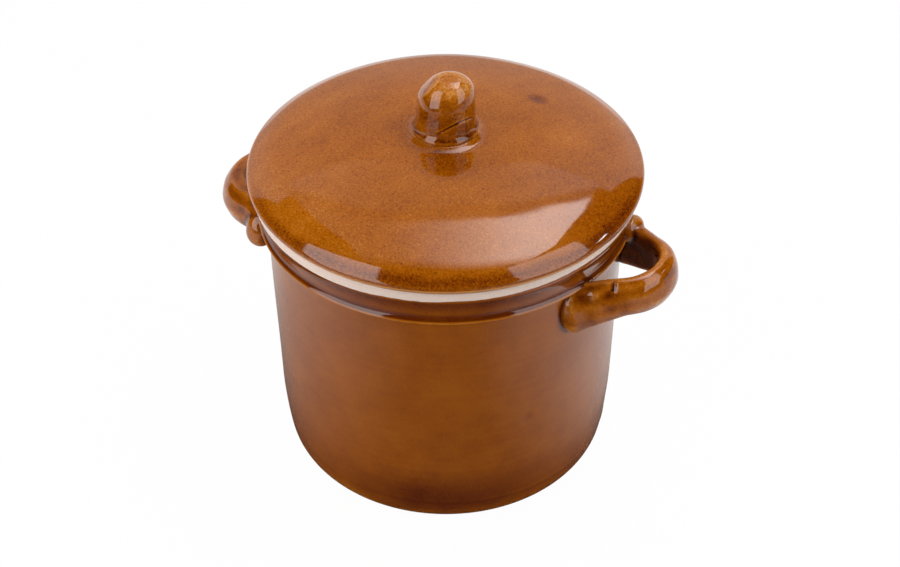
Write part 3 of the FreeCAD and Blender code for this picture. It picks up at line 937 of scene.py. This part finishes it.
def pool_and_painted_shade(maker, place, spot, reach):
    """A soft round patch: 1 at a spot and 0 at its reach, in millimetres. Pools and painted shade
    use it.
    """
    gap = maker.node("VectorMath", {"operation": "DISTANCE"},
                     {0: place, 1: seen_from_front(*spot) * MM}, output="Value")
    return (gap * (1 / MM)).ramp(reach, reach * 0.3)


def smeared(maker, place, along, wide, long):
    """Noise drawn out along a level direction, as a brush or a wiping hand leaves it."""
    sideways = Vector((-along.y, along.x, 0))
    drawn = maker.node("CombineXYZ", {}, {
        0: reach_along(maker, place, sideways / (wide * MM)),
        1: reach_along(maker, place, along / (long * MM))})
    return maker.noise(drawn, 1 / MM, 3.0) - 0.5


def run_and_shade_on_lid(maker, place):
    """Glaze gathered at the edge and thin below it, a smudge and smears, plus painted shade and
    light.
    """
    radius = radius_of(maker, place) + (maker.noise(place, 18, 1.0) - 0.5) * 3
    # glaze gathered at the edge, with painted shade that grows towards the front
    at_edge = radius.ramp(88.5, 92.8) * (frontness(maker, place, 0, 60) * 0.22 + 0.04)
    off_edge = height_of(maker, place).ramp(162.4, 161.4) * 0.7
    # painted shadow of the knob on the lid in front of it
    painted_knob_shadow = pool_and_painted_shade(maker, place, spot=(0, -25, 182.5), reach=17) * 0.2
    smudge = pool_and_painted_shade(maker, place, spot=LID_SMUDGE, reach=7) * 0.24
    # painted shade on the right of the lid and painted light on its left
    painted_right_shade = pool_and_painted_shade(maker, place, spot=(74, -36, 168), reach=46) * 0.1
    painted_left_light = pool_and_painted_shade(maker, place, spot=(-76, -38, 167), reach=40) * 0.05
    streaks = smeared(maker, place, seen_from_front(0.78, 0.62, 0), wide=13, long=70) * 0.2
    return at_edge - off_edge + painted_knob_shadow + smudge + painted_right_shade - painted_left_light + streaks


lid.data.materials.append(
    glaze_material("lid_glaze", base_depth=0.34, pooling=0.8, clouds=0.26, mottle=0.55,
                   gloss=0.06, bare=under_lid_seat, flow_and_shade=run_and_shade_on_lid))
print("lid_glaze has", len(lid.data.materials[0].node_tree.nodes), "nodes")

# %% [markdown]
# ## Glaze on the knob and the handles
# Small steep shapes shed their glaze fast, so thick and thin lie close together on them.
# They get the same glaze with small clouds and a strong answer to every hollow.

# %% Coat the knob and the handles
def thin_on_top(maker, place):
    """Glaze that ran off the knob's dome, and gathered at its foot."""
    height = height_of(maker, place)
    return height.ramp(189, 185.5) * 0.25 - height.ramp(204, 211) * 0.24


knob.data.materials.append(
    glaze_material("knob_glaze", base_depth=0.47, pooling=1.3, clouds=0.7, mottle=0.5,
                   gloss=0.04, cloud_size=9, flow_and_shade=thin_on_top))
# the handles' stored depth also carries painted shade on the loop's inner face and by the wall
handle_glaze = glaze_material("handle_glaze", base_depth=0.50, pooling=1.4, clouds=0.8,
                              mottle=0.3, gloss=0.05, cloud_size=12)
for handle in (right_handle, left_handle):
    handle.data.materials.append(handle_glaze)
    print(handle.name, "is coated with", handle_glaze.name)

# %% [markdown]
# ## The bare stoneware
# Unglazed stoneware is a pale, dry, slightly pink clay. It is dull, with a fine grain. The
# same dust that colours it also roughens it, so that the two agree.

# %% Mix the bare clay
CLAY_ROUGHNESS = 0.8

clay_material, clay_maker, clay_shader = new_material("bare_clay")
clay_colour, clay_dust = bare_clay(clay_maker, clay_maker.node("TexCoord", output="Object"))
clay_relief = clay_maker.node("Bump", {}, {"Height": clay_dust, "Strength": 0.4,
                                           "Distance": 0.08 * MM})
feed(clay_shader, {"Base Color": clay_colour, "Normal": clay_relief,
                   "Roughness": CLAY_ROUGHNESS})
flange.data.materials.append(clay_material)
print(flange.name, "is left bare, with", clay_material.name)

# %% [markdown]
# ## The table
# The pot stands on a plain white table in a dark room. What a shiny glaze shows is mostly
# the room, so the table matters as much as the material. It is painted white for rays that
# come straight from the camera. For mirrored rays it has painted light at the sides and the
# back, painted shade in front and a painted shadow round the pot's foot. To all other light
# it is a pale dull surface that takes the pot's shadow.

# %% Lay the table
TABLE_RADIUS = 4.0
TABLE_HEIGHT = -0.3 * MM
TABLE_PAINT = {"Base Color": (0.78, 0.78, 0.78, 1), "Roughness": 0.9}
PAINTED_SHARE, MIRRORED_SHARE = 0.975, 0.97


def viewer_place(maker):
    """A shaded point's distance to the viewer's right and away from the viewer, in metres."""
    place = maker.node("TexCoord", output="Object")
    return [reach_along(maker, place, seen_from_front(*axis)) for axis in ((1, 0, 0), (0, 1, 0))]


def glow(maker, radiance, colour=(1, 1, 1, 1)):
    """A shader that shines."""
    return maker.node("Emission", {}, {"Color": colour, "Strength": radiance})


def ray_kinds(maker, *kinds):
    """One socket per kind of ray, which is 1 for rays of that kind and 0 for others."""
    path = maker.node("LightPath").socket.node
    return [Shade(maker.tree, path.outputs[kind]) for kind in kinds]


def painted_table_light(maker):
    """The mirrored table's painted light: 1 at the sides, less behind, painted shade in front and
    near the foot.
    """
    right, away = viewer_place(maker)
    reach = radius_of(maker, maker.node("TexCoord", output="Object"))
    lit_right = right.ramp(0.04, 0.17) * (away.ramp(-0.14, 0.0) * 0.35 + 0.65)
    lit_left = right.ramp(-0.04, -0.27) * 0.95
    lit_sides = (lit_right + lit_left) * away.ramp(-0.8, -0.35)
    lit_back = away.ramp(0.03, 0.25) * 0.7
    # painted shadow of the pot round its foot
    lit = (lit_sides + lit_back + 0.04) * reach.ramp(65, 115)
    return lit.maths("MINIMUM", lit, 1.0)


floor_mesh = bmesh.new()
bmesh.ops.create_circle(floor_mesh, cap_ends=True, segments=64, radius=TABLE_RADIUS,
                        matrix=Matrix.Translation((0, 0, TABLE_HEIGHT)))
floor = finished("studio_table", floor_mesh)
table_material, table_maker, table_shader = new_material("white_table")
feed(table_shader, TABLE_PAINT)
seen_directly, seen_mirrored, seen_through = ray_kinds(
    table_maker, "Is Camera Ray", "Is Glossy Ray", "Is Transmission Ray")
mirrored_table = table_maker.node("MixShader", {}, {0: painted_table_light(table_maker),
                                                    1: glow(table_maker, 0.0),
                                                    2: glow(table_maker, 1.0)})
real_table = table_maker.node("MixShader", {}, {0: seen_mirrored * MIRRORED_SHARE,
                                                1: Shade(table_maker.tree,
                                                         table_shader.outputs[0]),
                                                2: mirrored_table})
painted = table_maker.node("MixShader", {}, {0: (seen_directly + seen_through) * PAINTED_SHARE,
                                             1: real_table,
                                             2: glow(table_maker, 1.0)})
feed(table_material.node_tree.nodes["Material Output"], {"Surface": painted})
floor.data.materials.append(table_material)

# %% [markdown]
# ## The lights
# Two tall soft boxes lean over the pot from the front left and the front right, a white
# sheet stands behind, and a second sheet hangs overhead with a lamp shining through its
# right half. A small bright window gives the short streak at the lid's right edge. They are
# sheets that shine, and not lamps, because their outlines are what the glaze mirrors. One
# real lamp lights the back, and the glaze doesn't mirror it.

# %% Hang the lights
def light_sheet(name, corners, radiance):
    """A flat sheet that shines. Its corners are in metres as the viewer sees them."""
    mesh = bmesh.new()
    mesh.faces.new([mesh.verts.new(seen_from_front(*corner)) for corner in corners])
    sheet = finished(name, mesh)
    sheet.visible_camera = False
    sheet.visible_shadow = False
    material, maker, _ = new_material(name)
    if callable(radiance):
        shine = glow(maker, 1.0, radiance(*viewer_place(maker)))
    else:
        shine = glow(maker, radiance)
    feed(material.node_tree.nodes["Material Output"], {"Surface": shine})
    sheet.data.materials.append(material)


def lamp_through_sheet(right, away):
    """How bright the overhead sheet is: a fold at its middle and a lamp near its front."""
    past_fold = away - (right * right * 1.1 + 0.35)
    sides = right.ramp(0.0, 0.5) * 0.55 + right.ramp(-0.15, -0.6) * 0.25
    back_part = past_fold.ramp(0.01, 0.07) * (sides + 0.14)
    lamp = right.ramp(-0.3, 0.34)
    front_part = past_fold.ramp(-0.015, -0.05) * ((lamp * 3.9 + 1.3) * lamp + 0.1)
    return back_part + (front_part + 0.36) * away.ramp(-0.2, 0.04)


def brighter_at_sides(right, away):
    """How bright the rear sheet is: its lamps stand at its two ends."""
    return right.ramp(0.2, 1.2) * 0.4 + right.ramp(-0.4, -1.6) * 0.35 + 0.42


def fill_light(name, centre, size, radiance):
    """A soft light for the unseen sides. It isn't mirrored in the glaze."""
    lamp = bpy.data.lights.new(name, "AREA")
    lamp.shape = "RECTANGLE"
    lamp.size, lamp.size_y = size
    lamp.energy = radiance * math.pi * size[0] * size[1]
    holder = bpy.data.objects.new(name, lamp)
    holder.location = seen_from_front(*centre)
    aim = seen_from_front(0, 0, 0.1) - holder.location
    holder.rotation_euler = aim.to_track_quat("-Z", "Y").to_euler()
    holder.visible_glossy = False
    holder.visible_camera = False
    bpy.context.scene.collection.objects.link(holder)
    print(name, "shines with", round(lamp.energy, 1), "W")


left_box = [(-0.85, 0.11, 1.0), (-0.33, -0.2, 1.0), (-0.374, -0.75, 0.165), (-0.894, -0.44, 0.165)]
right_box = [(0.67, 0.13, 1.0), (0.31, -0.2, 1.0), (0.419, -0.638, 0.165), (0.779, -0.308, 0.165)]
rear_sheet = [(-2.1, 1.4, 0.0), (-1.8, 1.4, 1.79), (1.3, 1.4, 1.54), (1.45, 1.4, 0.0)]
top_sheet = [(-0.66, 0.86, 1.0), (-0.46, 0.45, 1.0), (-0.38, 0.2, 1.0), (-0.42, -0.2, 1.0),
             (0.36, -0.2, 1.0), (0.51, 0.1, 1.0), (0.47, 0.42, 1.0), (0.64, 0.86, 1.0)]
small_window = [(1.09, 0.1, 1.0), (1.15, 0.27, 1.0), (1.22, 0.3, 1.0), (1.16, 0.13, 1.0)]
light_sheet("left_soft_box", left_box, radiance=3.3)
light_sheet("right_soft_box", right_box, radiance=2.7)
light_sheet("rear_sheet", rear_sheet, radiance=brighter_at_sides)
light_sheet("overhead_sheet", top_sheet, radiance=lamp_through_sheet)
light_sheet("small_window", small_window, radiance=20.0)
fill_light("back_fill", centre=(-0.4, 2.0, 1.5), size=(2.4, 1.4), radiance=2.8)

# %% [markdown]
# ## The room
# The world is white where the camera looks past the table, and nearly dark for every other
# ray, so that it neither lights the pot nor greys its reflections.

# %% Paint the room
MIRRORED_ROOM, SOFT_ROOM = 0.015, 0.08

world = bpy.data.worlds.new("studio_room")
world.use_nodes = True
bpy.context.scene.world = world
sky_direct, sky_through, sky_mirrored, sky_soft = ray_kinds(
    Shade(world.node_tree), "Is Camera Ray", "Is Transmission Ray", "Is Glossy Ray",
    "Is Diffuse Ray")
strength = sky_direct + sky_through + sky_mirrored * MIRRORED_ROOM + sky_soft * SOFT_ROOM
feed(world.node_tree.nodes["Background"], {"Color": (1, 1, 1, 1), "Strength": strength})
print(world.name, "has", len(world.node_tree.nodes), "nodes")
